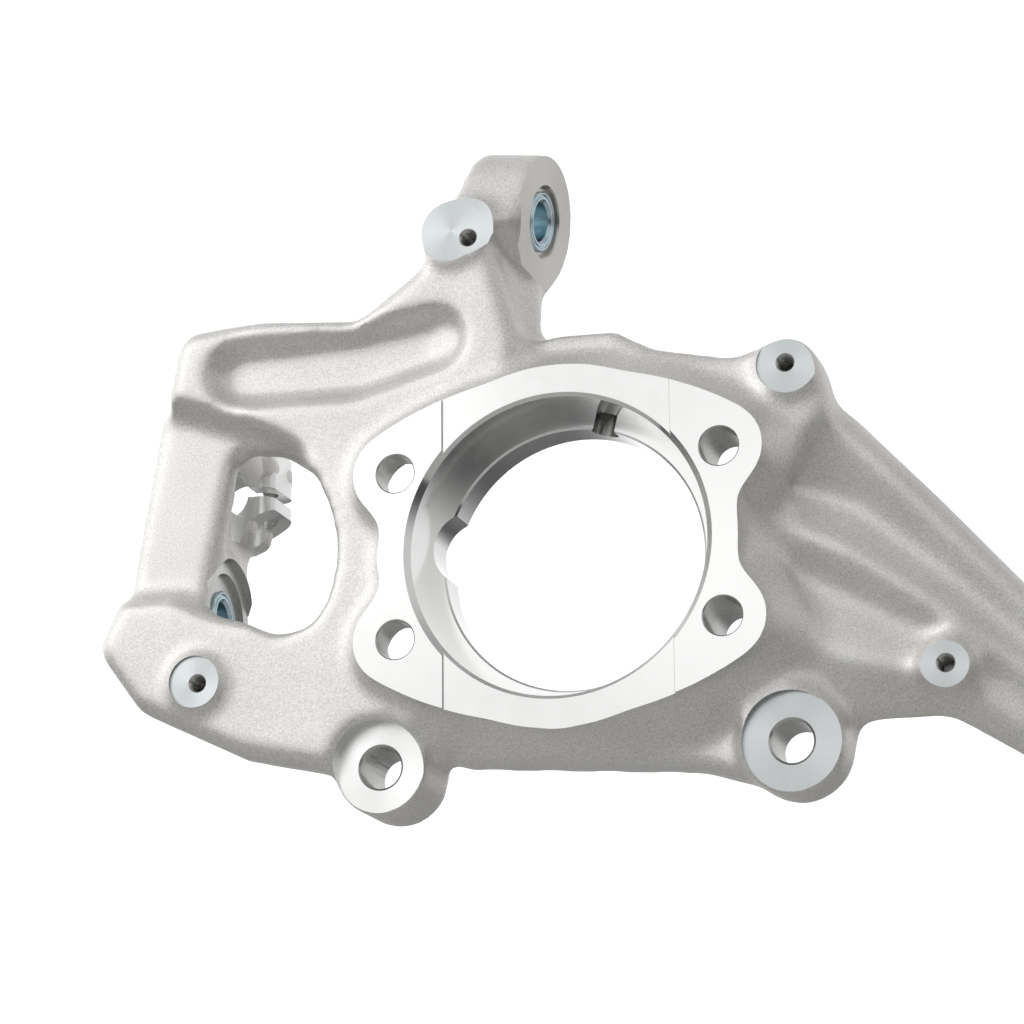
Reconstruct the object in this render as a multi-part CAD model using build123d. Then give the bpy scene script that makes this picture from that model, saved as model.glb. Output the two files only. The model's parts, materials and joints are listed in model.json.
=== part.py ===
from build123d import *
import math
import os

# Steering knuckle, left front: one aluminium casting, machined at its faces and bores,
# with two steel sleeves pressed into its ball-joint seats.
# Frame, in millimetres: the origin is the hub bore's centre on the bolt-pad face. -Y points
# outboard along the hub axis, +X towards the upper ball joint (up on the car), +Z towards the
# steering arm (forward on the car). A depth is a distance inboard of the bolt-pad face.

# Hub seat
hub_bore_d = 101.0
hub_shoulder_depth = 22.0
hub_lip_d = 89.3
hub_depth = 36.0
hub_wall = 11.0
lip_relief_d = 25.0
lip_relief_reach = 37.0
lip_relief_angle = 170.0

# Hub bolts and the pad face around them
hub_bolt_d = 13.0
hub_bolt_dx = 110.7
hub_bolt_dz = 56.7
hub_lobe_r = 14.0
pad_half_height = 58.2
pad_half_waist = 57.4
pad_height = 2.5
pad_draft = 15.0
pad_step = 0.8
pad_step_half_width = 39.0
skirt_height = 12.5
skirt_slope = 42.0
bolt_seat_d = 20.0
bolt_grip_left = 12.0
bolt_grip_upper_right = 26.0
bolt_grip_lower_right = 33.0

# Caliper bosses
caliper_hole_d = 14.0
caliper_face_depth = 14.0
caliper_z = -68.0
caliper_left_x = -65.0
caliper_left_length = 28.0
caliper_left_boss_d = 32.0
caliper_right_x = 74.0
caliper_right_length = 22.5
caliper_right_boss_d = 35.0
caliper_spot_d = 31.0

# Brake shield bosses, with blind M6 holes at their tap drill's size
shield_thread_d = 5.2
shield_thread_depth = 12.0

# Steering arm end and its joint seat; the prow points outboard
steering_x = -12.5
steering_depth = 35.0
steering_z = 124.0
steering_end_d = 46.0
steering_end_length = 24.0
steering_prow_reach = 28.5
steering_prow_drop = 9.0
steering_prow_r = 3.0
steering_counterbore_d = 24.5

# Lower joints, seen through the window: an ear across the hub axis and a split clamp along it
deep_wall_near = 16.0
deep_wall_far = 56.0
ear_x = -128.0
ear_depth = 35.0
ear_z = -9.0
ear_d = 42.0
ear_thickness = 24.0
ear_spot_d = 33.0
clamp_x = -132.0
clamp_z = 38.0
clamp_near = 40.0
clamp_far = 66.0
clamp_d = 36.0
clamp_bore_d = 19.0
clamp_bore_depth = 32.0
clamp_jaw_reach = 18.0
clamp_jaw_up = 16.0
clamp_jaw_down = 6.0
clamp_slot = 3.5
clamp_bolt_d = 8.5
clamp_bolt_offset = 11.5

# Sleeves
sleeve_d = 21.0
sleeve_bore_d = 13.5
sleeve_inset = 0.8
steering_sleeve_length = 20.0
ear_sleeve_length = 22.0
counterbore_depth = 2.0

# Eye at the upper arm's end
upper_x = 196.0
upper_depth = 52.0
upper_z = -76.0
upper_end_d = 42.0
upper_end_height = 34.0
upper_bore_d = 18.0

# Sensor hole, on a radius of the bore, and the pad it leaves through
sensor_hole_d = 9.3
sensor_depth = 24.8
sensor_angle = 76.0
sensor_pad_near = 14.0
sensor_pad_far = 35.0

# Plates of the casting
plate_near = 7.0
plate_far = 24.0
plate_edge = 3.5
limb_near = 15.0
limb_slope = 30.0
limb_r = 6.0
web_near = 18.0
web_far = 36.0
shoulder_near = 11.0
shoulder_far = 34.0
corner_r = 9.0
window_r = 11.0
pocket_depth = 7.0
pocket_slope = 35.0

# How far a cutting tool starts outside the metal, and how far it goes through
clear = 1.0
through = 200.0

hub_bore_r = hub_bore_d / 2
hub_barrel_r = hub_bore_r + hub_wall
steering_axis = Vector(0.982, -0.105, -0.161).normalized()
sensor_outward = Vector(math.cos(math.radians(sensor_angle)), 0, math.sin(math.radians(sensor_angle)))
outboard = Vector(0, -1, 0)
up_on_car = Vector(1, 0, 0)

# Outlines across the hub axis, as x and z
left_outline = [
    (-137, 88), (-108, 90), (-72, 87), (-50, 103), (-44, 118), (-26, 116), (-14, 72), (-30, 20),
    (-30, -40), (-66, -72), (-86, -68), (-113, -62), (-150, -44), (-166, -22), (-152, 6),
]
limb_recess = [
    (-185, 62), (-137, 59), (-112, 50), (-94, 41), (-92, 20), (-100, -10), (-116, -13), (-137, -3),
    (-185, -3),
]
window_outline = [(-118, 45), (-102, 44), (-86, 33), (-79, 6), (-86, -20), (-102, -21), (-128, -8)]
web_outline = [(-70, -52), (-40, -67), (0, -70), (40, -73), (70, -82), (92, -66), (70, -30), (-60, -30)]
shoulder_outline = [(20, 50), (24, 69), (57, 62), (75, 67), (87, 58), (90, 42), (78, 26), (60, 26)]
sensor_pad_outline = [(-20, 50), (-17, 73), (-3, 76.5), (17, 76), (30, 68), (32, 50)]
deep_outline = [(-146, 60), (-128, 57), (-127, 20), (-128, -36), (-158, -30), (-155, 8)]
pocket_course = [
    # x, z, radius of the long pocket's floor
    (-114, 71, 7.5),
    (-74, 71, 8.5),
    (-44, 77, 6.5),
]

# Upper arm: sections across +X, whose sides keep their directions so that the arm's faces stay
# flat. The sides, as (z, depth), cross two ribs and a shelf with valleys between them, and
# then the arm's lower flank; a flat back and the upper flank close the section.
upper_sides = [(-3, -4), (-13, 6), (-3, -2), (-13, 9), (-7, -2), (-7, 4), (13, 14)]
upper_flank = (15, -17)
upper_sections = {
    # x: the corner at its top, as (z, depth), and how often each side repeats its direction
    47: ((56, 22), (3.0, 1.4, 4.2, 1.0, 4.0, 4.3, 0.4)),
    94: ((45, 29), (3.2, 1.9, 5.8, 1.0, 3.2, 2.9, 0.95)),
    122: ((15, 36), (3.0, 1.4, 4.6, 0.7, 1.8, 2.0, 1.1)),
    184: ((-55, 52), (2.4, 0.6, 2.0, 0.5, 1.0, 1.4, 0.75)),
}
# Steering arm: sections across +Z, as (x, depth)
steering_sections = {
    58: [(-54, 17), (-38, 11), (-2, 11), (6, 20), (2, 34), (-54, 34)],
    82: [(-56, 18), (-42, 12), (-22, 12), (-12, 27), (-17, 43), (-56, 43)],
    98: [(-52, 22), (-42, 12), (-26, 12), (-13, 30), (-18, 50), (-52, 50)],
    114: [(-46, 24), (-40, 12), (-26, 12), (-15, 30), (-19, 53), (-46, 53)],
}

shield_bosses = [
    # x, z, face depth, length, diameter
    (-38, 114.5, 8, 22, 22),
    (-33.5, 115.5, 8, 22, 21),
    (76.5, 57, 10, 18, 19.5),
    (-128, -36.5, 5.5, 14, 17),
    (123.5, -45, 20, 18, 18),
]
shield_holes = [
    # x, z, face depth
    (-32, 111.5, 8),
    (76, 57.5, 10),
    (-127, -37, 5.5),
    (123.5, -44.5, 20),
]
bolt_grips = {
    (-1, 1): bolt_grip_left,
    (-1, -1): bolt_grip_left,
    (1, 1): bolt_grip_upper_right,
    (1, -1): bolt_grip_lower_right,
}


def facing(depth, x=0.0, z=0.0):
    """Plane across the hub axis at a depth; its normal points inboard."""
    return Plane(origin=(x, depth, z), x_dir=(1, 0, 0), z_dir=(0, 1, 0))


def rounded(outline, radius):
    face = make_face(Polyline(*[(x, -z) for x, z in outline], close=True))
    return fillet(face.vertices(), radius) if radius else face


def plate(outline, near, far, radius=0.0, edge=0.0):
    """Outline extruded between two depths, with its outboard rim bevelled."""
    solid = extrude(facing(near) * rounded(outline, radius), far - near)
    if edge:
        solid = chamfer(solid.edges().group_by(Axis.Y)[0], edge)
    return solid


def post(x, z, near, far, diameter):
    """Round boss or drill along the hub axis."""
    return extrude(facing(near, x, z) * Circle(diameter / 2), far - near)


def rod(origin, axis, start, end, diameter):
    """Round bar or drill along any axis, from start to end along it."""
    base = Plane(origin=Vector(*origin) + axis * start, z_dir=axis)
    return extrude(base * Circle(diameter / 2), end - start)


def pad_outline(grow=0.0):
    """Hub pad: four lobes round the bolts, joined by long arcs and pinched at the waist."""
    lobe = hub_lobe_r + grow
    top = pad_half_height + grow
    hx, hz = hub_bolt_dx / 2, hub_bolt_dz / 2
    # the long arc passes (0, top) and holds both lobes inside it
    long_r = (hx ** 2 + (top - hz) ** 2 - lobe ** 2) / (2 * (top - hz - lobe))
    tip = Vector(hx, hz - top + long_r).normalized()
    lobe_top = (hx + lobe * tip.X, hz + lobe * tip.Y)
    # the waist arc passes (waist, 0) and touches both lobes from outside
    waist = pad_half_waist + grow
    gap = waist - hx
    waist_r = (gap ** 2 + hz ** 2 - lobe ** 2) / (2 * (lobe - gap))
    away = Vector(hx - waist - waist_r, hz).normalized()
    lobe_side = (waist + waist_r + waist_r * away.X, waist_r * away.Y)
    middle = (Vector(*lobe_top) + Vector(*lobe_side)) / 2 - Vector(hx, hz)
    far_side = Vector(hx, hz) + middle.normalized() * lobe

    def quarter(sx, sz):
        return [(sx * p[0], sz * p[1]) for p in (lobe_top, (far_side.X, far_side.Y), lobe_side)]

    q1, q2, q3, q4 = quarter(1, 1), quarter(1, -1), quarter(-1, -1), quarter(-1, 1)
    arcs = [
        ThreePointArc(q4[0], (0, top), q1[0]),
        ThreePointArc(*q1),
        ThreePointArc(q1[2], (waist, 0), q2[2]),
        ThreePointArc(q2[2], q2[1], q2[0]),
        ThreePointArc(q2[0], (0, -top), q3[0]),
        ThreePointArc(*q3),
        ThreePointArc(q3[2], (-waist, 0), q4[2]),
        ThreePointArc(q4[2], q4[1], q4[0]),
    ]
    return make_face(arcs)


def hub():
    pad = extrude(facing(0) * pad_outline(), pad_height, taper=-pad_draft)
    pad_growth = pad_height * math.tan(math.radians(pad_draft))
    skirt = extrude(facing(pad_height) * pad_outline(pad_growth), skirt_height, taper=-skirt_slope)
    barrel = post(0, 0, pad_height, hub_depth, 2 * hub_barrel_r)
    return pad + skirt + barrel


def upper_outline(start, repeats):
    """Corners of one section of the upper arm, as (z, depth)."""
    points = [start]
    for (dz, depth), times in zip(upper_sides, repeats):
        points.append((points[-1][0] + dz * times, points[-1][1] + depth * times))
    back = points[-1][1]
    points.append((start[0] - upper_flank[0] * (start[1] - back) / upper_flank[1], back))
    return points


def flat_sided(outlines):
    """Solid through polygons whose matching sides are parallel, so that its faces are flat."""
    faces = [make_face(Polyline(*outline, close=True)) for outline in (outlines[0], outlines[-1])]
    for near, far in zip(outlines, outlines[1:]):
        for i, corner in enumerate(near):
            faces.append(make_face(Polyline(near[i - 1], corner, far[i], far[i - 1], close=True)))
    return Solid(Shell(faces))


def upper_arm():
    outlines = []
    for x, (start, repeats) in upper_sections.items():
        outlines.append([(x, depth, z) for z, depth in upper_outline(start, repeats)])
    eye = rod((upper_x, upper_depth, upper_z), up_on_car, -upper_end_height / 2,
              upper_end_height / 2, upper_end_d)
    return flat_sided(outlines) + eye


def steering_arm():
    sections = []
    for z, points in steering_sections.items():
        sections.append(make_face(Polyline(*[(x, depth, z) for x, depth in points], close=True)))
    return loft(sections, ruled=True) + steering_end()


def steering_end():
    """Lug with a round end and a prow, like a drop; its flat face carries the joint's seat."""
    radius = steering_end_d / 2
    reach = math.hypot(steering_prow_reach, steering_prow_drop)
    lean = math.atan2(-steering_prow_drop, steering_prow_reach)
    half_angle = math.acos(radius / reach)
    tangents = [(radius * math.cos(lean + side), radius * math.sin(lean + side))
                for side in (half_angle, -half_angle)]
    prow = (steering_prow_reach, -steering_prow_drop)
    profile = Circle(radius) + make_face(Polyline(tangents[0], prow, tangents[1], close=True))
    tip = profile.vertices().sort_by_distance((prow[0], prow[1], 0))[0]
    profile = fillet(tip, steering_prow_r)
    base = Plane(origin=(steering_x, steering_depth, steering_z), x_dir=outboard,
                 z_dir=-steering_axis)
    return extrude(base * profile, steering_end_length)


def lower_joints():
    wall = plate(deep_outline, deep_wall_near, deep_wall_far)
    ear = rod((ear_x, ear_depth, ear_z), -up_on_car, 0, ear_thickness, ear_d)
    boss = post(clamp_x, clamp_z, clamp_near, clamp_far, clamp_d)
    jaw_end = clamp_x + clamp_jaw_reach
    jaws = plate([(clamp_x, clamp_z - clamp_jaw_up), (clamp_x, clamp_z + clamp_jaw_up),
                  (jaw_end, clamp_z + clamp_jaw_up), (jaw_end, clamp_z - clamp_jaw_down)],
                 clamp_near + clear, clamp_far - clear)
    return wall + ear + boss + jaws


def bosses():
    solids = [
        post(caliper_left_x, caliper_z, caliper_face_depth,
             caliper_face_depth + caliper_left_length, caliper_left_boss_d),
        post(caliper_right_x, caliper_z, caliper_face_depth,
             caliper_face_depth + caliper_right_length, caliper_right_boss_d),
    ]
    for x, z, depth, length, diameter in shield_bosses:
        solids.append(post(x, z, depth, depth + length, diameter))
    return solids


def left_plate():
    """Plate round the window, sunk at the limb beside it and along the curved pocket above."""
    left = plate(left_outline, plate_near, plate_far, corner_r, plate_edge)
    left -= extrude(facing(limb_near) * rounded(limb_recess, limb_r), -limb_near - clear,
                    taper=-limb_slope)
    ends = [Pos(x, -z) * Circle(radius) for x, z, radius in pocket_course]
    for first, second in zip(ends, ends[1:]):
        floor = make_hull(first.edges() + second.edges()).face()
        if floor.normal_at().Z < 0:
            floor = -floor
        left -= extrude(facing(plate_near + pocket_depth) * floor, -pocket_depth - clear,
                        taper=-pocket_slope)
    return left


def cast_body():
    body = left_plate() + hub() + upper_arm() + steering_arm() + lower_joints()
    body += plate(web_outline, web_near, web_far)
    body += plate(shoulder_outline, shoulder_near, shoulder_far)
    body += plate(sensor_pad_outline, sensor_pad_near, sensor_pad_far)
    for boss in bosses():
        body += boss
    return body


def window():
    return plate(window_outline, -through, through, window_r)


def hub_cuts():
    band = Box(2 * pad_step_half_width, 2 * pad_step, through)
    bore = post(0, 0, -clear, hub_shoulder_depth, hub_bore_d)
    lip = post(0, 0, 0, through, hub_lip_d)
    angle = math.radians(lip_relief_angle)
    relief = post(lip_relief_reach * math.cos(angle), lip_relief_reach * math.sin(angle),
                  hub_shoulder_depth, through, lip_relief_d)
    sensor = rod((0, sensor_depth, 0), sensor_outward, 0, through, sensor_hole_d)
    cuts = [band, bore, lip, relief, sensor]
    for (sx, sz), grip in bolt_grips.items():
        x, z = sx * hub_bolt_dx / 2, sz * hub_bolt_dz / 2
        cuts.append(post(x, z, -clear, through, hub_bolt_d))
        cuts.append(post(x, z, grip, through, bolt_seat_d))
    return cuts


def boss_cuts():
    cuts = []
    for x in (caliper_left_x, caliper_right_x):
        cuts.append(post(x, caliper_z, -through, caliper_face_depth, caliper_spot_d))
        cuts.append(post(x, caliper_z, 0, through, caliper_hole_d))
    for x, z, depth, length, diameter in shield_bosses:
        cuts.append(post(x, z, -through, depth, diameter))
    for x, z, depth in shield_holes:
        cuts.append(post(x, z, depth - clear, depth + shield_thread_depth, shield_thread_d))
    return cuts


def joint_cuts():
    inward = -steering_axis
    steering_face = (steering_x, steering_depth, steering_z)
    ear_face = (ear_x, ear_depth, ear_z)
    upper_eye = (upper_x, upper_depth, upper_z)
    clamp_middle = (clamp_x + clamp_bolt_offset, (clamp_near + clamp_far) / 2, clamp_z)
    slot = Box(through, clamp_far - clamp_near + 2 * clear, clamp_slot,
               align=(Align.MIN, Align.CENTER, Align.CENTER))
    return [
        rod(steering_face, inward, -clear, through, sleeve_d),
        rod(steering_face, inward, -clear, counterbore_depth, steering_counterbore_d),
        rod(ear_face, -up_on_car, -clear, through, sleeve_d),
        rod(ear_face, up_on_car, 0, clamp_jaw_reach, ear_d + clear),
        rod(ear_face, -up_on_car, -clear, counterbore_depth, ear_spot_d),
        post(clamp_x, clamp_z, clamp_far - clamp_bore_depth, through, clamp_bore_d),
        Pos(clamp_x, clamp_middle[1], clamp_z) * slot,
        rod(clamp_middle, Vector(0, 0, 1), -clamp_d, clamp_d, clamp_bolt_d),
        rod(upper_eye, up_on_car, -upper_end_height / 2, through, upper_bore_d),
    ]


def casting():
    body = cast_body()
    for cut in [window()] + hub_cuts() + boss_cuts() + joint_cuts():
        body -= cut
    return body


def sleeve(face, inward, length):
    """Steel sleeve pressed in from its face."""
    tube = rod(face, inward, 0, length, sleeve_d)
    return tube - rod(face, inward, -clear, length + clear, sleeve_bore_d)


def main():
    steering_face = Vector(steering_x, steering_depth, steering_z) - steering_axis * sleeve_inset
    ear_face = Vector(ear_x - sleeve_inset, ear_depth, ear_z)
    pieces = {
        "knuckle_casting": casting(),
        "steering_arm_sleeve": sleeve(steering_face, -steering_axis, steering_sleeve_length),
        "lower_ear_sleeve": sleeve(ear_face, -up_on_car, ear_sleeve_length),
    }
    os.makedirs("parts", exist_ok=True)
    for name, piece in pieces.items():
        piece.label = name
        export_step(piece, f"parts/{name}.step")


main()
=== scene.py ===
import json
import math

import bpy
import numpy as np
import openvdb
from mathutils import Matrix, Vector


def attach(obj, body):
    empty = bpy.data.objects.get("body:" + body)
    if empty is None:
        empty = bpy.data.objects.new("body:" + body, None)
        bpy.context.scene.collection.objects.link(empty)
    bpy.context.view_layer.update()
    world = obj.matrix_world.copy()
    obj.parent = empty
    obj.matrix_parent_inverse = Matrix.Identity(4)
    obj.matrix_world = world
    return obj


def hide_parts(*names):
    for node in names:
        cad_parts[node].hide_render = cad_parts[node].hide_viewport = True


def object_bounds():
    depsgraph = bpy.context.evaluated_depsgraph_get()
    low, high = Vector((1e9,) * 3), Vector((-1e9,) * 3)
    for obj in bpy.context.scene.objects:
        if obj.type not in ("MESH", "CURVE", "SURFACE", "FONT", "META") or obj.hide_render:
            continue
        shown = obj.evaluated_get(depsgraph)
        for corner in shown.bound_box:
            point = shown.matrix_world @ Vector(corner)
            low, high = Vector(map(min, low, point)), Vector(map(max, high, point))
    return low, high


# Looks of the cast steering knuckle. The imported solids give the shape; here the casting gets the
# soft fillets and grain of a shot-blasted casting, and then its crisp machined faces and bores.
# Frame as in the record: -Y outboard, +X towards the upper joint, +Z towards the steering arm.
# Lengths below are millimetres unless a comment says otherwise.

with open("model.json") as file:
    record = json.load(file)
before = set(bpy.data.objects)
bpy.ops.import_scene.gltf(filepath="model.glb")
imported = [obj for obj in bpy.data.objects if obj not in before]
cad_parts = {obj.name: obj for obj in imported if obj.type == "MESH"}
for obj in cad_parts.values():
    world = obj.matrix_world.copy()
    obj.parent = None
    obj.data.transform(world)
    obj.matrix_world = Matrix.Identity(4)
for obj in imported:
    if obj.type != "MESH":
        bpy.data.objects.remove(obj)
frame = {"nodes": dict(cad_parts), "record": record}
cad_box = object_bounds()

MM = 0.001
INBOARD = Vector((0, 1, 0))
RIGHT = Vector((1, 0, 0))
LEFT = Vector((-1, 0, 0))
UP = Vector((0, 0, 1))

# Casting: the grid's spacing and its band in voxels, then what rounds the surface
VOXEL = 1.5
BAND = 8
FILLET_R = 3.2
EDGE_R = 2.0
SOFTEN = 1.1
ARM_SOFTEN = 2.4
ARM_FROM = 56.0
ARM_TO = 178.0
ARM_BLEND = 14.0
SHARP_ANGLE = 32.0
# window: its left corners, points inside the opening, and the round right side's centre, radius
# and half angle
WINDOW_LEFT = [(-98.0, 38.0), (-108.0, 44.4), (-118.0, 45.0),
               (-128.0, -8.0), (-112.0, -16.0), (-98.0, -17.0)]
WINDOW_CENTRE = (-127.1, 6.5)
WINDOW_ROUND_R = 47.8
WINDOW_ROUND_ANGLE = 26.5
WINDOW_FAR = 30.0

# Metal left for the cutters: over each face, and in the holes so that their edges stay crisp
PAD_STOCK = 4.0
PAD_SLICE = 1.5
STOCK = 3.0
CALIPER_PLUG = 20.0
CALIPER_PLUG_MARGIN = 1.0
SHIELD_PLUG = 12.0
SLEEVE_PLUG = 24.0
SENSOR_PLUG_INSET = 2.0

# Where cutters start in front of the part and end behind it, or deep in it, and how far one
# runs into the next
FRONT = -30.0
THROUGH = 90.0
DEEP = 60.0
OVERLAP = 1.0

# Machining that the record's mounts don't hold
PAD_REACH = 100.0
BAND_REACH = 90.0
BAND_STEP = 0.8
BAND_HALF_WIDTH = 39.0
UNDERCUT = 0.3
UNDERCUT_DEPTH = 0.2
HUB_CHAMFER = 2.0
HUB_LEAD = 6.0
LIP_LEAD = 4.0
SHOULDER_STEP = 0.01
SMALL_CHAMFER = 0.7
BOLT_CHAMFER = 0.4
CALIPER_CHAMFER = 0.8
SHIELD_CHAMFER = 0.6
STEERING_CHAMFER = 0.5
EYE_CHAMFER = 1.0
SENSOR_START_R = 38.0
RELIEF_R = 12.5
RELIEF_AT = (-36.44, 6.42)
BOLT_GRIPS = {(-1, 1): 12.0, (-1, -1): 12.0, (1, 1): 26.0, (1, -1): 33.0}
BOLT_SEAT_R = 10.0
CALIPER_FACE = 14.0
CALIPER_SPOT_R = (15.3, 16.4)
CALIPER_BOSS_R = (16.0, 17.5)
# the right caliper face's darker grey is painted shade; the left keeps the plain machined tone
CALIPER_TONE_AND_PAINTED_SHADE = ("#F1F1F0", "#C8CBCC")
SHIELD_MARGIN = 0.4
THREAD_PITCH = 1.0
THREAD_DEPTH = 0.45
STEERING_FACE = Vector((-12.5, 35.0, 124.0))
STEERING_FACE_R = 23.0
STEERING_MARGIN = 1.0
STEERING_LEAD = 14.0
STEERING_COUNTERBORE_R = 12.25
EAR_FACE = Vector((-128.0, 35.0, -9.0))
EAR_R = 21.0
EAR_MARGIN = 0.5
EAR_LEAD = 18.0
EAR_SPOT_R = 16.5
COUNTERBORE_DEPTH = 2.0
CLAMP_SLOT = 3.5
CLAMP_SLOT_FRONT = 38.0
CLAMP_SLOT_BACK = 80.0
CLAMP_BOLT_HALF = 36.0
CLAMP_END = 66.0
JAW_CUT_HALF = 18.0
JAW_CUT_MARGIN = 3.0
JAW_CUT_INTO_WINDOW = 4.0
JAW_FACE = 40.4
JAW_BACK = 65.6
JAW_END = -114.2
JAW_CORNER_R = 5.0
JAW_DOWN = 6.0
JAW_UP = 15.8
JAW_SLOPE = 0.55
DEEP_WALL_SIDE = -126.8
EYE_R = 21.0
EYE_HALF = 17.0
EYE_MARGIN = 4.0
EYE_LEAD = 14.0
# x, z, face depth and radius of the brake shield bosses; the first two make one oval
SHIELD_SPOTS = [
    (-38.0, 114.5, 8.0, 11.0),
    (-33.5, 115.5, 8.0, 10.5),
    (76.5, 57.0, 10.0, 9.75),
    (-128.0, -36.5, 5.5, 8.5),
    (123.5, -45.0, 20.0, 9.0),
]

# Sleeves: the groove runs in the front face, its places counted from the bore and the outside
SLEEVE_R = 10.5
SLEEVE_BORE_R = 6.75
SLEEVE_INSET = 0.8
SLEEVE_BEVEL = 0.5
SLEEVE_MOUTH = 1.1
SLEEVE_BACK_MOUTH = 0.8
GROOVE_DEPTH = 0.5
GROOVE_FROM_BORE = 1.7
GROOVE_FLOOR = (2.0, 2.3)
GROOVE_FROM_OUTSIDE = 0.9

# Camera, fitted to the photograph's bolt holes and bore
CAMERA_AT = Vector((317.1, -1125.6, -298.5))
CAMERA_AZIMUTH = 16.43
CAMERA_ELEVATION = -14.81
CAMERA_ROLL = -0.47
CAMERA_LENS = 129.68
SENSOR_WIDTH = 36.0

# Floor and softbox, in metres
FLOOR_DROP = 0.30
FLOOR_HALF = 0.9
SOFTBOX_AT = (-1.0, -1.1, 0.7)
SOFTBOX_SIDE = 0.8
SOFTBOX_WATTS = 2.5


def mount(name):
    """Position in mm, axis and sizes of one of the record's mounts."""
    for entry in frame["record"]["mounts"]:
        if entry["name"] == name:
            return Vector(entry["pos_m"]) / MM, Vector(entry["axis"]), entry["dims"]
    raise KeyError(name)


# Sizes from the record
_, _, bolts = mount("hub_bolts")
bolt_dx = bolts["spacing_x_mm"] / 2
bolt_dz = bolts["spacing_y_mm"] / 2
bolt_r = bolts["hole_r_mm"]
bore_at, _, bore_sizes = mount("hub_bore")
hub_r = bore_sizes["r_mm"]
hub_shoulder = bore_at.y + bore_sizes["length_mm"] / 2
lip_at, _, lip_sizes = mount("axle_opening")
lip_r = lip_sizes["r_mm"]
hub_depth = lip_at.y + lip_sizes["length_mm"] / 2
caliper_at, _, caliper_sizes = mount("caliper_bolts")
caliper_r = caliper_sizes["hole_r_mm"]
caliper_z = caliper_at.z
caliper_xs = [caliper_at.x + side * caliper_sizes["spacing_x_mm"] / 2 for side in (-1, 1)]
_, steering_axis, _ = mount("steering_joint")
clamp_at, _, clamp_sizes = mount("lower_clamp")
clamp_r = clamp_sizes["r_mm"]
clamp_length = clamp_sizes["length_mm"]
clamp_bolt_at, _, clamp_bolt_sizes = mount("lower_clamp_bolt")
clamp_bolt_r = clamp_bolt_sizes["r_mm"]
eye_at, _, eye_sizes = mount("upper_joint")
eye_r = eye_sizes["r_mm"]
sensor_at, sensor_axis, sensor_sizes = mount("sensor_hole")
sensor_r = sensor_sizes["r_mm"]
sensor_length = sensor_sizes["length_mm"]
sensor_mid = math.hypot(sensor_at.x, sensor_at.z)


def node_triangles(node):
    """Vertices in mm and triangles of a CAD node."""
    mesh = node.data
    mesh.calc_loop_triangles()
    points = np.empty(len(mesh.vertices) * 3, np.float32)
    mesh.vertices.foreach_get("co", points)
    points = points.reshape(-1, 3)
    turn = np.array(node.matrix_world)
    points = (points @ turn[:3, :3].T + turn[:3, 3]) / MM
    triangles = np.empty(len(mesh.loop_triangles) * 3, np.int32)
    mesh.loop_triangles.foreach_get("vertices", triangles)
    return points, triangles.reshape(-1, 3)


class Field:
    """Signed distance to a closed surface, in mm, on a regular grid; negative in the metal."""

    def __init__(self, low, high):
        self.start = np.floor(np.array(low) / VOXEL).astype(int) - BAND - 2
        end = np.ceil(np.array(high) / VOXEL).astype(int) + BAND + 2
        self.values = np.zeros(end - self.start, np.float32)

    def axes(self):
        """The grid's places along x, y and z, each as an array that spreads over the others."""
        return np.meshgrid(*[(self.start[i] + np.arange(self.values.shape[i])) * VOXEL for i in range(3)],
                           indexing="ij", sparse=True)

    def read(self, points, triangles=None, quads=None):
        """Takes the distances to a closed mesh."""
        grid = openvdb.FloatGrid.createLevelSetFromPolygons(
            np.ascontiguousarray(points, np.float32),
            triangles=None if triangles is None else np.ascontiguousarray(triangles, np.uint32),
            quads=None if quads is None else np.ascontiguousarray(quads, np.uint32),
            transform=openvdb.createLinearTransform(voxelSize=VOXEL), halfWidth=BAND)
        grid.copyToArray(self.values, ijk=tuple(int(v) for v in self.start))

    def surface(self, level):
        """Points and quads of the surface at a distance from the field's own."""
        grid = openvdb.FloatGrid(BAND * VOXEL)
        grid.copyFromArray(self.values, ijk=tuple(int(v) for v in self.start))
        grid.transform = openvdb.createLinearTransform(voxelSize=VOXEL)
        points, _, quads = grid.convertToPolygons(isovalue=level, adaptivity=0.0)
        return points, quads

    def offset(self, level):
        """Takes the surface at that distance as the new one."""
        points, quads = self.surface(level)
        self.read(points, quads=quads)

    def add_rod(self, origin, axis, start, end, radius):
        """Joins a round bar to the metal."""
        x, y, z = self.axes()
        dx, dy, dz = x - origin[0], y - origin[1], z - origin[2]
        along = dx * axis[0] + dy * axis[1] + dz * axis[2]
        across = np.sqrt(np.maximum(dx * dx + dy * dy + dz * dz - along * along, 0))
        self.values = np.minimum(self.values, np.maximum.reduce(
            [across - radius, start - along, along - end])).astype(np.float32)

    def cut_outline(self, outline, far):
        """Takes a convex outline in x and z away, up to a depth."""
        x, y, z = self.axes()
        free = y - far
        for (x0, z0), (x1, z1) in zip(outline, outline[1:] + outline[:1]):
            across = ((x - x0) * (z1 - z0) - (z - z0) * (x1 - x0)) / math.hypot(x1 - x0, z1 - z0)
            free = np.maximum(free, across)
        self.values = np.maximum(self.values, -free).astype(np.float32)

    def soften(self, sigma):
        """Gaussian blur, which rounds what the offsets left sharp."""
        reach = int(math.ceil(3 * sigma / VOXEL))
        steps = np.arange(-reach, reach + 1)
        weights = np.exp(-0.5 * (steps * VOXEL / sigma) ** 2)
        weights /= weights.sum()
        for axis in range(3):
            spread = [(reach, reach) if i == axis else (0, 0) for i in range(3)]
            padded = np.pad(self.values, spread, mode="edge")
            size = self.values.shape[axis]
            blurred = np.zeros_like(self.values)
            for k, weight in enumerate(weights):
                blurred += weight * np.take(padded, range(k, k + size), axis=axis)
            self.values = blurred


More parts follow.
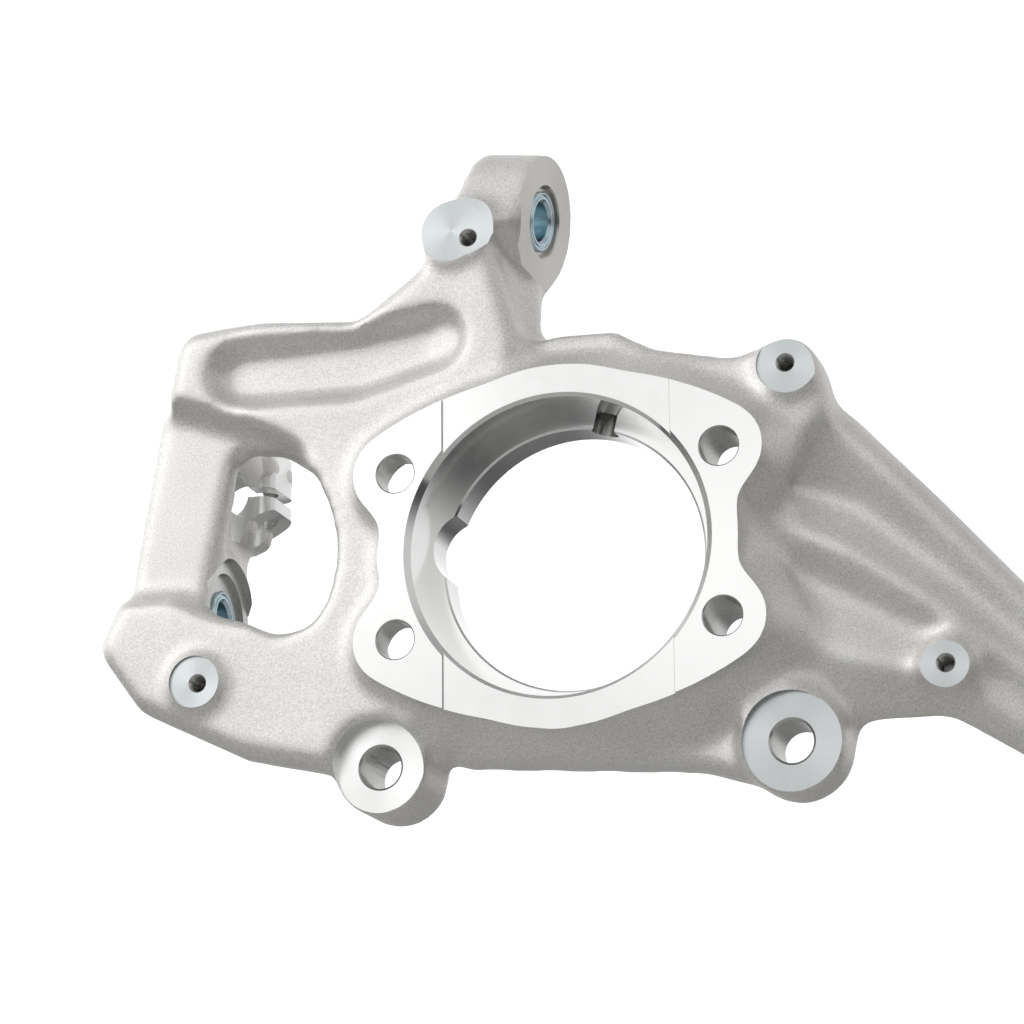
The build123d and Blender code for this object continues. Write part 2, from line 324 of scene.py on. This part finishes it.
def add_stock(field):
    """Metal that the cutters take off again, so that only cast edges are rounded."""
    x, y, z = field.axes()
    slice_at = int(round(PAD_SLICE / VOXEL)) - field.start[1]
    outline = field.values[:, slice_at:slice_at + 1, :]
    pad = np.where(y < PAD_SLICE, np.maximum(outline, -PAD_STOCK - y), field.values)
    field.values = np.minimum(field.values, pad).astype(np.float32)
    field.add_rod((0, 0, 0), INBOARD, -PAD_STOCK, hub_depth, hub_r + HUB_CHAMFER)
    for (sx, sz), grip in BOLT_GRIPS.items():
        field.add_rod((sx * bolt_dx, 0, sz * bolt_dz), INBOARD, -PAD_STOCK, grip, bolt_r)
    for x, radius in zip(caliper_xs, CALIPER_BOSS_R):
        at = (x, 0, caliper_z)
        field.add_rod(at, INBOARD, CALIPER_FACE - STOCK, CALIPER_FACE + STOCK, radius)
        field.add_rod(at, INBOARD, CALIPER_FACE, CALIPER_FACE + CALIPER_PLUG,
                      caliper_r + CALIPER_PLUG_MARGIN)
    for x, z, depth, radius in SHIELD_SPOTS:
        field.add_rod((x, 0, z), INBOARD, depth - STOCK, depth + SHIELD_PLUG, radius)
    inward = -steering_axis
    field.add_rod(STEERING_FACE, inward, -STOCK, STOCK, STEERING_FACE_R)
    field.add_rod(STEERING_FACE, inward, -STOCK, SLEEVE_PLUG, STEERING_COUNTERBORE_R)
    field.add_rod(EAR_FACE, LEFT, -STOCK, STOCK, EAR_R)
    field.add_rod(EAR_FACE, LEFT, -STOCK, SLEEVE_PLUG, EAR_SPOT_R)
    field.add_rod(clamp_at, INBOARD, -clamp_length / 2, CLAMP_END - clamp_at.y, clamp_r)
    field.add_rod(eye_at, RIGHT, -EYE_HALF, EYE_HALF + STOCK, EYE_R)
    field.add_rod(sensor_at, sensor_axis, -sensor_length / 2, sensor_length / 2 - SENSOR_PLUG_INSET,
                  sensor_r)


def window():
    """The window with tight left corners and one smooth curve on its right."""
    right = []
    half_count = 5
    for k in range(-half_count, half_count + 1):
        angle = math.radians(WINDOW_ROUND_ANGLE * k / half_count)
        right.append((WINDOW_CENTRE[0] + WINDOW_ROUND_R * math.cos(angle),
                      WINDOW_CENTRE[1] + WINDOW_ROUND_R * math.sin(angle)))
    return WINDOW_LEFT + right


def cast_casting():
    """The casting as it leaves the mould, with stock on its faces and rounded edges."""
    node = frame["nodes"]["knuckle_casting"]
    points, triangles = node_triangles(node)
    field = Field(points.min(axis=0), points.max(axis=0))
    field.read(points, triangles=triangles)
    add_stock(field)
    field.cut_outline(window(), WINDOW_FAR)
    # outwards and back by more than that: concave corners keep the fillet, and then the way
    # out again rounds the edges
    field.offset(FILLET_R)
    field.offset(-FILLET_R - EDGE_R)
    field.values -= EDGE_R
    field.soften(SOFTEN)
    # the arm's ribs and valleys flow into each other more softly than the rest
    x = field.axes()[0]
    weight = np.clip((x - ARM_FROM) / ARM_BLEND, 0, 1) * np.clip((ARM_TO - x) / ARM_BLEND, 0, 1)
    crisp = field.values
    field.soften(ARM_SOFTEN)
    field.values = (crisp + weight * (field.values - crisp)).astype(np.float32)
    points, quads = field.surface(0.0)
    mesh = bpy.data.meshes.new("knuckle_casting_detail")
    mesh.from_pydata((points * MM).tolist(), [], quads[:, ::-1].tolist())
    mesh.update()
    obj = bpy.data.objects.new("knuckle_casting_detail", mesh)
    bpy.context.scene.collection.objects.link(obj)
    if signed_volume(mesh) < 0:
        mesh.flip_normals()
    mesh.materials.append(cast_aluminium())
    return obj


def signed_volume(mesh):
    """Six times a closed mesh's volume, negative where its faces look inwards."""
    mesh.calc_loop_triangles()
    total = 0.0
    for tri in mesh.loop_triangles:
        a, b, c = (mesh.vertices[i].co for i in tri.vertices)
        total += a.dot(b.cross(c))
    return total


def frame_of(axis):
    """Two directions square to an axis."""
    axis = axis.normalized()
    side = axis.cross(UP)
    if side.length < 0.1:
        side = axis.cross(RIGHT)
    side.normalize()
    return side, axis.cross(side)


def turned(name, profile, origin, axis, material, segments=72, ring=False, radius_at=None):
    """Lathe form from (distance along the axis, radius) points. A ring closes on itself round
    its bore; otherwise both ends are capped. radius_at may change a radius by its angle."""
    axis = axis.normalized()
    side, other = frame_of(axis)
    origin = Vector(origin)
    verts, faces = [], []
    for along, radius in profile:
        for k in range(segments):
            angle = 2 * math.pi * k / segments
            r = radius_at(along, angle, radius) if radius_at else radius
            point = origin + axis * along + (side * math.cos(angle) + other * math.sin(angle)) * r
            verts.append(point * MM)
    rows = len(profile)
    for i in range(rows if ring else rows - 1):
        a, b = i * segments, ((i + 1) % rows) * segments
        for k in range(segments):
            nxt = (k + 1) % segments
            faces.append((a + k, a + nxt, b + nxt, b + k))
    if not ring:
        faces.append(tuple(range(segments - 1, -1, -1)))
        faces.append(tuple(range((rows - 1) * segments, rows * segments)))
    return solid(name, verts, faces, material)


def block(name, low, high, material):
    """Box between two corners in mm."""
    verts = [Vector((x, y, z)) * MM for x in (low[0], high[0]) for y in (low[1], high[1])
             for z in (low[2], high[2])]
    faces = [(0, 1, 3, 2), (4, 6, 7, 5), (0, 4, 5, 1), (2, 3, 7, 6), (0, 2, 6, 4), (1, 5, 7, 3)]
    return solid(name, verts, faces, material)


def jaw_block(material):
    """Clamp jaws' end, milled round its corners, before the bore, slot and bolt hole are cut."""
    outline = [(clamp_at.x, JAW_BACK), (clamp_at.x, JAW_FACE)]
    for y, start in ((JAW_FACE + JAW_CORNER_R, -90), (JAW_BACK - JAW_CORNER_R, 0)):
        for k in range(10):
            angle = math.radians(start + 10 * k)
            outline.append((JAW_END - JAW_CORNER_R + JAW_CORNER_R * math.cos(angle),
                            y + JAW_CORNER_R * math.sin(angle)))
    count = len(outline)
    verts = [Vector((x, y, clamp_at.z - JAW_DOWN - (JAW_END - x) * JAW_SLOPE)) * MM for x, y in outline]
    verts += [Vector((x, y, clamp_at.z + JAW_UP)) * MM for x, y in outline]
    faces = [(k, (k + 1) % count, count + (k + 1) % count, count + k) for k in range(count)]
    faces += [tuple(range(count - 1, -1, -1)), tuple(range(count, 2 * count))]
    return solid("clamp jaws", verts, faces, material)


def solid(name, verts, faces, material):
    """Object of one closed mesh, with its faces turned outwards."""
    mesh = bpy.data.meshes.new(name)
    mesh.from_pydata(verts, [], faces)
    mesh.update()
    if signed_volume(mesh) < 0:
        mesh.flip_normals()
    mesh.materials.append(material)
    obj = bpy.data.objects.new(name, mesh)
    bpy.context.scene.collection.objects.link(obj)
    return obj


def hole(name, origin, axis, start, end, radius, material, mouth):
    """Drilled hole with a chamfered mouth at its start."""
    profile = [(start - mouth, radius + 2 * mouth), (start + mouth, radius), (end, radius)]
    return turned(name, profile, origin, axis, material)


def thread(name, origin, axis, start, end, radius, material):
    """Tapped hole: its radius follows a helix between the drill's and the thread's."""
    rows_per_pitch = 6
    steps = int((end - start) / THREAD_PITCH * rows_per_pitch)
    profile = [(start + (end - start) * i / steps, radius) for i in range(steps + 1)]

    def helix(along, angle, base):
        phase = ((along - start) / THREAD_PITCH - angle / (2 * math.pi)) % 1.0
        return base + THREAD_DEPTH * (1 - abs(2 * phase - 1))

    return turned(name, profile, origin, axis, material, segments=32, radius_at=helix)


def cutters():
    """Everything that is machined into the casting, in the order in which it is cut."""
    face = machined("machined aluminium, pad face", (0, 0, 0), INBOARD, ring_mm=0.9, depth_um=1.5)
    bored = machined("machined aluminium, bore", (0, 0, 0), INBOARD, ring_mm=0.5, depth_um=2.0,
                     gloss=(0.1, 0.18))
    drilled = machined("drilled aluminium", (0, 0, 0), INBOARD, ring_mm=0.4, depth_um=3.0, shade="#CECECC")
    tools = [
        block("pad face", (-PAD_REACH, FRONT, -PAD_REACH), (PAD_REACH, 0, PAD_REACH), face),
        block("pad band", (-BAND_HALF_WIDTH, FRONT, -BAND_REACH),
              (BAND_HALF_WIDTH, BAND_STEP, BAND_REACH), face),
    ]
    for x in (-BAND_HALF_WIDTH, BAND_HALF_WIDTH):
        tools.append(block("band undercut", (x - UNDERCUT / 2, FRONT, -BAND_REACH),
                           (x + UNDERCUT / 2, BAND_STEP + UNDERCUT_DEPTH, BAND_REACH), drilled))
    bore = [
        (-HUB_LEAD, hub_r + HUB_CHAMFER + HUB_LEAD),
        (HUB_CHAMFER, hub_r),
        (hub_shoulder, hub_r),
        (hub_shoulder + SHOULDER_STEP, lip_r + SMALL_CHAMFER),
        (hub_shoulder + SMALL_CHAMFER, lip_r),
        (hub_depth - SMALL_CHAMFER, lip_r),
        (hub_depth + LIP_LEAD, lip_r + LIP_LEAD + SMALL_CHAMFER),
    ]
    tools.append(turned("hub bore", bore, (0, 0, 0), INBOARD, bored, segments=160))
    relief_at = (RELIEF_AT[0], 0, RELIEF_AT[1])
    tools.append(turned("lip relief", [(hub_shoulder, RELIEF_R), (DEEP, RELIEF_R)], relief_at, INBOARD,
                        bored))
    tools.append(turned("sensor hole", [(SENSOR_START_R - sensor_mid, sensor_r), (DEEP, sensor_r)],
                        sensor_at, sensor_axis, drilled))
    for (sx, sz), grip in BOLT_GRIPS.items():
        at = (sx * bolt_dx, 0, sz * bolt_dz)
        tools.append(hole("hub bolt hole", at, INBOARD, 0, grip + OVERLAP, bolt_r, drilled, BOLT_CHAMFER))
        tools.append(turned("bolt seat", [(grip, BOLT_SEAT_R), (THROUGH, BOLT_SEAT_R)], at, INBOARD,
                            drilled))
    # the right caliper face's darker grey is painted shade; the left keeps the plain machined tone
    for x, spot_r, shade in zip(caliper_xs, CALIPER_SPOT_R, CALIPER_TONE_AND_PAINTED_SHADE):
        at = (x, 0, caliper_z)
        spot = machined("machined aluminium, caliper face", at, INBOARD, ring_mm=0.7, depth_um=2.5,
                        shade=shade)
        tools.append(turned("caliper face", [(FRONT, spot_r), (CALIPER_FACE, spot_r)], at, INBOARD, spot))
        tools.append(hole("caliper hole", at, INBOARD, CALIPER_FACE, THROUGH, caliper_r, drilled,
                          CALIPER_CHAMFER))
    for x, z, depth, radius in SHIELD_SPOTS:
        # the shield faces' grey, darker than plain machined aluminium, is painted shade
        spot = machined("machined aluminium, shield face, painted shade", (x, 0, z), INBOARD, ring_mm=0.6, depth_um=2.5,
                        shade="#C8CCCD")
        spot_r = radius + SHIELD_MARGIN
        tools.append(turned("shield face", [(FRONT, spot_r), (depth, spot_r)], (x, 0, z), INBOARD, spot))
    for name in ("steering", "upper", "lower", "arm"):
        at, _, sizes = mount("shield_hole_" + name)
        depth = at.y - sizes["length_mm"] / 2
        at = (at.x, 0, at.z)
        tools.append(hole("shield hole mouth", at, INBOARD, depth, depth + OVERLAP, sizes["r_mm"], drilled,
                          SHIELD_CHAMFER))
        tools.append(thread("shield hole", at, INBOARD, depth - OVERLAP, depth + sizes["length_mm"],
                            sizes["r_mm"], drilled))
    tools += steering_cutters(drilled) + lower_cutters(drilled)
    eye = machined("machined aluminium, eye", eye_at, RIGHT, ring_mm=0.6, depth_um=2.5)
    face_r = EYE_R + EYE_MARGIN
    tools.append(turned("eye face", [(EYE_HALF, face_r), (EYE_HALF + EYE_LEAD, face_r)], eye_at, RIGHT, eye))
    tools.append(hole("eye bore", eye_at, LEFT, -EYE_HALF, EYE_HALF, eye_r, eye, EYE_CHAMFER))
    return tools


def steering_cutters(drilled):
    """Face, counterbore and sleeve seat at the end of the steering arm."""
    inward = -steering_axis
    # the steering end's grey, darker than plain machined aluminium, is painted shade
    face = machined("machined aluminium, steering end, painted shade", STEERING_FACE, inward, ring_mm=0.6, depth_um=2.5,
                    shade="#D3D1CD")
    face_r = STEERING_FACE_R + STEERING_MARGIN
    return [
        turned("steering face", [(-STEERING_LEAD, face_r), (0, face_r)], STEERING_FACE, inward, face),
        hole("steering counterbore", STEERING_FACE, inward, 0, COUNTERBORE_DEPTH,
             STEERING_COUNTERBORE_R, face, STEERING_CHAMFER),
        turned("steering seat", [(COUNTERBORE_DEPTH, SLEEVE_R), (DEEP, SLEEVE_R)], STEERING_FACE, inward,
               drilled),
    ]


def lower_cutters(drilled):
    """The ear's face and sleeve seat, and the clamp's bore, slot and bolt hole."""
    # the ear's grey, darker than plain machined aluminium, is painted shade
    face = machined("machined aluminium, ear, painted shade", EAR_FACE, LEFT, ring_mm=0.6, depth_um=2.5, shade="#CFCFCD")
    face_r = EAR_R + EAR_MARGIN
    jaws = machined("machined aluminium, clamp", clamp_at, INBOARD, ring_mm=0.6, depth_um=2.5)
    mid = clamp_bolt_at.copy()
    mid.z = clamp_at.z
    return [
        turned("ear face", [(-EAR_LEAD, face_r), (0, face_r)], EAR_FACE, LEFT, face),
        turned("ear spot", [(-OVERLAP, EAR_SPOT_R), (COUNTERBORE_DEPTH, EAR_SPOT_R)], EAR_FACE, LEFT, face),
        turned("ear seat", [(0, SLEEVE_R), (DEEP, SLEEVE_R)], EAR_FACE, LEFT, drilled),
        block("jaw face", (DEEP_WALL_SIDE, WINDOW_FAR - JAW_CUT_INTO_WINDOW, clamp_at.z - JAW_CUT_HALF),
              (JAW_END + JAW_CUT_MARGIN, JAW_FACE, clamp_at.z + JAW_CUT_HALF), jaws),
        turned("clamp bore", [(-clamp_length / 2, clamp_r), (DEEP, clamp_r)], clamp_at, INBOARD, jaws),
        block("clamp slot", (clamp_at.x, CLAMP_SLOT_FRONT, clamp_at.z - CLAMP_SLOT / 2),
              (clamp_at.x + DEEP, CLAMP_SLOT_BACK, clamp_at.z + CLAMP_SLOT / 2), jaws),
        turned("clamp bolt", [(-CLAMP_BOLT_HALF, clamp_bolt_r), (CLAMP_BOLT_HALF, clamp_bolt_r)], mid, UP,
               jaws),
    ]


def machine(casting):
    """Joins the clamp's jaws to the casting and cuts the tools out of it. Joined and cut faces
    keep their own materials."""
    jaws = jaw_block(machined("machined aluminium, jaws", clamp_bolt_at, UP, ring_mm=0.6, depth_um=2.5))
    for tool in [jaws] + cutters():
        cut = casting.modifiers.new(tool.name, "BOOLEAN")
        cut.operation = "UNION" if tool == jaws else "DIFFERENCE"
        cut.solver = "MANIFOLD"
        cut.object = tool
        cut.material_mode = "TRANSFER"
        with bpy.context.temp_override(object=casting, active_object=casting):
            bpy.ops.object.modifier_apply(modifier=cut.name)
        bpy.data.objects.remove(tool)
    casting.data.shade_smooth()
    casting.data.set_sharp_from_angle(angle=math.radians(SHARP_ANGLE))


def sleeves():
    """Pressed steel sleeves, with a chamfered bore and a turned groove in the face that shows."""
    inner = SLEEVE_BORE_R
    outer = SLEEVE_R
    for name, face, inward, length in (("steering_arm_sleeve", STEERING_FACE, -steering_axis, 20.0),
                                       ("lower_ear_sleeve", EAR_FACE, LEFT, 22.0)):
        start = face + inward * SLEEVE_INSET
        profile = [
            (0, inner + SLEEVE_MOUTH),
            (0, inner + GROOVE_FROM_BORE),
            (GROOVE_DEPTH, inner + GROOVE_FLOOR[0]),
            (GROOVE_DEPTH, inner + GROOVE_FLOOR[1]),
            (0, outer - GROOVE_FROM_OUTSIDE),
            (0, outer - SLEEVE_BEVEL),
            (SLEEVE_BEVEL, outer),
            (length - SLEEVE_BEVEL, outer),
            (length, outer - SLEEVE_BEVEL),
            (length, inner + SLEEVE_BACK_MOUTH),
            (length - SLEEVE_BACK_MOUTH, inner),
            (SLEEVE_MOUTH, inner),
        ]
        piece = turned(name + "_detail", profile, start, inward, zinc_plated_steel(start, inward),
                       segments=96, ring=True)
        piece.data.shade_smooth()
        piece.data.set_sharp_from_angle(angle=math.radians(SHARP_ANGLE))
        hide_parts(name)
        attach(piece, "root")


def linear(code):
    """An sRGB hex colour as linear RGBA."""
    channels = [int(code[i:i + 2], 16) / 255 for i in (1, 3, 5)]
    return tuple(c / 12.92 if c <= 0.04045 else ((c + 0.055) / 1.055) ** 2.4 for c in channels) + (1.0,)


def add_node(material, kind, settings=None, **links):
    """One shader node. settings holds its properties and its sockets' values by name; a link is
    given as socket=output, with _ for a space in the socket's name, or as i and its number."""
    node = material.node_tree.nodes.new("ShaderNode" + kind)
    for key, value in (settings or {}).items():
        if isinstance(key, int) or key in node.inputs:
            node.inputs[key].default_value = value
        else:
            setattr(node, key, value)
    for key, output in links.items():
        by_number = key[0] == "i" and key[1:].isdigit()
        socket = node.inputs[int(key[1:]) if by_number else key.replace("_", " ")]
        material.node_tree.links.new(output, socket)
    return node


def new_material(name):
    """Material with no nodes yet."""
    material = bpy.data.materials.new(name)
    material.use_nodes = True
    material.node_tree.nodes.clear()
    return material


def finish_material(material, settings, **links):
    """Adds the shader with its settings and links, and the output."""
    shader = add_node(material, "BsdfPrincipled", settings, **links)
    output = add_node(material, "OutputMaterial")
    material.node_tree.links.new(shader.outputs["BSDF"], output.inputs["Surface"])
    return material


def cast_aluminium():
    """Shot-blasted cast aluminium: a warm grey, matt and finely pitted, a little cloudy."""
    material = new_material("shot-blasted cast aluminium")
    place = add_node(material, "TexCoord").outputs["Object"]
    # pits of about 0.6 mm, coarser casting skin of about 2.5 mm, clouds of about 30 mm
    pits = add_node(material, "TexNoise", {"Scale": 1 / (0.6 * MM), "Detail": 2.0}, Vector=place)
    skin = add_node(material, "TexNoise", {"Scale": 1 / (2.5 * MM), "Detail": 3.0}, Vector=place)
    clouds = add_node(material, "TexNoise", {"Scale": 1 / (30 * MM), "Detail": 2.0}, Vector=place)
    mixed = add_node(material, "Math", {"operation": "MULTIPLY_ADD", 1: 0.3}, i0=clouds.outputs["Fac"],
                     i2=pits.outputs["Fac"])
    tone = add_node(material, "ValToRGB", Fac=mixed.outputs[0])
    tone.color_ramp.elements[0].position = 0.4
    tone.color_ramp.elements[0].color = linear("#D2D0CD")
    tone.color_ramp.elements[1].position = 0.9
    tone.color_ramp.elements[1].color = linear("#FAF9F7")
    rough = add_node(material, "MapRange", {"To Min": 0.44, "To Max": 0.58}, Value=pits.outputs["Fac"])
    height = add_node(material, "Math", {"operation": "MULTIPLY_ADD", 1: 0.35},
                      i0=skin.outputs["Fac"], i2=pits.outputs["Fac"])
    bump = add_node(material, "Bump", {"Strength": 0.8, "Distance": 0.09 * MM}, Height=height.outputs[0])
    return finish_material(material, {"Metallic": 1.0}, Base_Color=tone.outputs["Color"],
                           Roughness=rough.outputs["Result"], Normal=bump.outputs["Normal"])


def rings_round(material, centre, axis, ring_mm):
    """Height of tool marks as rings round an axis, the place itself, and the rings' direction."""
    place = add_node(material, "TexCoord").outputs["Object"]
    away = add_node(material, "VectorMath", {"operation": "SUBTRACT", 1: Vector(centre) * MM}, i0=place)
    across = add_node(material, "VectorMath", {"operation": "CROSS_PRODUCT", 1: axis.normalized()},
                      i0=away.outputs[0])
    along = add_node(material, "VectorMath", {"operation": "DOT_PRODUCT", 1: axis.normalized()},
                     i0=away.outputs[0])
    radius = add_node(material, "VectorMath", {"operation": "LENGTH"}, i0=across.outputs[0])
    travel = add_node(material, "Math", {"operation": "ADD"}, i0=radius.outputs["Value"],
                      i1=along.outputs["Value"])
    turns = add_node(material, "Math", {"operation": "MULTIPLY", 1: 2 * math.pi / (ring_mm * MM)},
                     i0=travel.outputs[0])
    wave = add_node(material, "Math", {"operation": "SINE"}, i0=turns.outputs[0])
    return wave.outputs[0], place, across.outputs[0]


def machined(name, centre, axis, ring_mm, depth_um, shade="#F1F1F0", gloss=(0.22, 0.34)):
    """Machined aluminium: bright, with fine rings from the tool and slightly uneven gloss. The
    rings spread the gloss across them, which makes bright and dark sectors on a faced disc. They
    are drawn wider apart than a finishing tool's usual feed of 0.1 to 0.3 mm, so that they show.
    Blotches in the gloss are about 8 mm across."""
    material = new_material(name)
    rings, place, round_axis = rings_round(material, centre, axis, ring_mm)
    normal = add_node(material, "NewGeometry").outputs["Normal"]
    across = add_node(material, "VectorMath", {"operation": "CROSS_PRODUCT"}, i0=normal, i1=round_axis)
    blotches = add_node(material, "TexNoise", {"Scale": 1 / (8 * MM), "Detail": 3.0}, Vector=place)
    rough = add_node(material, "MapRange", {"To Min": gloss[0], "To Max": gloss[1]},
                     Value=blotches.outputs["Fac"])
    bump = add_node(material, "Bump", {"Strength": 0.5, "Distance": depth_um * MM * MM}, Height=rings)
    return finish_material(material, {"Metallic": 1.0, "Base Color": linear(shade), "Anisotropic": 0.7},
                           Roughness=rough.outputs["Result"], Normal=bump.outputs["Normal"],
                           Tangent=across.outputs[0])


def zinc_plated_steel(centre, axis):
    """Zinc-plated steel, blue-passivated: a cool bright metal with turned rings 0.5 mm apart, wider
    than real ones so that they show, and blotches of about 5 mm in its gloss."""
    material = new_material("zinc-plated steel")
    rings, place, _ = rings_round(material, centre, axis, 0.5)
    blotches = add_node(material, "TexNoise", {"Scale": 1 / (5 * MM), "Detail": 3.0}, Vector=place)
    rough = add_node(material, "MapRange", {"To Min": 0.18, "To Max": 0.32}, Value=blotches.outputs["Fac"])
    bump = add_node(material, "Bump", {"Strength": 0.5, "Distance": 2.0 * MM * MM}, Height=rings)
    return finish_material(material, {"Metallic": 1.0, "Base Color": linear("#C9DDE5")},
                           Roughness=rough.outputs["Result"], Normal=bump.outputs["Normal"])


def floor():
    """Plain pale matt floor under the part."""
    material = new_material("pale floor")
    place = add_node(material, "TexCoord").outputs["Object"]
    noise = add_node(material, "TexNoise", {"Scale": 6.0}, Vector=place)
    tone = add_node(material, "ValToRGB", Fac=noise.outputs["Fac"])
    tone.color_ramp.elements[0].color = linear("#AEAEAC")
    tone.color_ramp.elements[1].color = linear("#B6B6B4")
    finish_material(material, {"Roughness": 0.8}, Base_Color=tone.outputs["Color"])
    half = FLOOR_HALF
    level = cad_box[0][2] - FLOOR_DROP
    mesh = bpy.data.meshes.new("floor")
    mesh.from_pydata([(-half, -half, level), (half, -half, level), (half, half, level), (-half, half, level)],
                     [], [(0, 1, 2, 3)])
    mesh.materials.append(material)
    obj = bpy.data.objects.new("floor", mesh)
    bpy.context.scene.collection.objects.link(obj)


def softbox():
    """Square area light at the front left that faces the hub."""
    lamp = bpy.data.lights.new("front left softbox", "AREA")
    lamp.shape = "RECTANGLE"
    lamp.size = SOFTBOX_SIDE
    lamp.size_y = SOFTBOX_SIDE
    lamp.energy = SOFTBOX_WATTS
    obj = bpy.data.objects.new("front left softbox", lamp)
    bpy.context.scene.collection.objects.link(obj)
    obj.location = SOFTBOX_AT
    obj.rotation_euler = (-Vector(SOFTBOX_AT)).to_track_quat("-Z", "Y").to_euler()


def studio():
    """White surroundings, grey overhead and below the horizon."""
    world = bpy.data.worlds.new("pale studio")
    world.use_nodes = True
    background = world.node_tree.nodes["Background"]
    place = add_node(world, "TexCoord").outputs["Generated"]
    split = add_node(world, "SeparateXYZ", i0=place)
    height = add_node(world, "MapRange", {"From Min": -1.0, "From Max": 1.0}, Value=split.outputs["Z"])
    ramp = add_node(world, "ValToRGB", Fac=height.outputs["Result"])
    ramp.color_ramp.interpolation = "EASE"
    # sine of the elevation, scaled to 0..1, and the brightness there
    for i, (at, level) in enumerate(((0.36, 0.1), (0.57, 1.0), (0.74, 1.0), (0.96, 0.56))):
        stop = ramp.color_ramp.elements[i] if i < 2 else ramp.color_ramp.elements.new(at)
        stop.position = at
        stop.color = (level, level, level, 1.0)
    # the side that the part faces is a little greyer than the one behind it, and right is
    # greyer than left
    front_to_back = add_node(world, "MapRange", {"From Min": -0.6, "From Max": 0.6, "To Min": 1.06,
                                                 "To Max": 1.2}, Value=split.outputs["Y"])
    left_to_right = add_node(world, "MapRange", {"From Min": -0.5, "From Max": 0.6, "To Min": 1.16,
                                                 "To Max": 0.56}, Value=split.outputs["X"])
    strength = add_node(world, "Math", {"operation": "MULTIPLY"}, i0=front_to_back.outputs["Result"],
                        i1=left_to_right.outputs["Result"])
    world.node_tree.links.new(ramp.outputs["Color"], background.inputs["Color"])
    world.node_tree.links.new(strength.outputs[0], background.inputs["Strength"])
    bpy.context.scene.world = world
    bpy.context.scene.view_settings.view_transform = "Standard"
    floor()


def camera():
    """Camera at the photograph's viewing angle."""
    azimuth = math.radians(CAMERA_AZIMUTH)
    elevation = math.radians(CAMERA_ELEVATION)
    roll = math.radians(CAMERA_ROLL)
    back = Vector((math.sin(azimuth) * math.cos(elevation), -math.cos(azimuth) * math.cos(elevation),
                   math.sin(elevation)))
    right = UP.cross(back).normalized()
    up = back.cross(right)
    turned_right = right * math.cos(roll) + up * math.sin(roll)
    turned_up = up * math.cos(roll) - right * math.sin(roll)
    data = bpy.data.cameras.new("camera")
    data.sensor_width = SENSOR_WIDTH
    data.sensor_fit = "HORIZONTAL"
    data.lens = CAMERA_LENS
    data.clip_start = 0.05
    data.clip_end = 50.0
    obj = bpy.data.objects.new("camera", data)
    bpy.context.scene.collection.objects.link(obj)
    basis = Matrix((turned_right, turned_up, back)).transposed().to_4x4()
    obj.matrix_world = Matrix.Translation(CAMERA_AT * MM) @ basis
    bpy.context.scene.camera = obj


detail = cast_casting()
machine(detail)
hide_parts("knuckle_casting")
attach(detail, "root")
sleeves()
studio()
softbox()
camera()
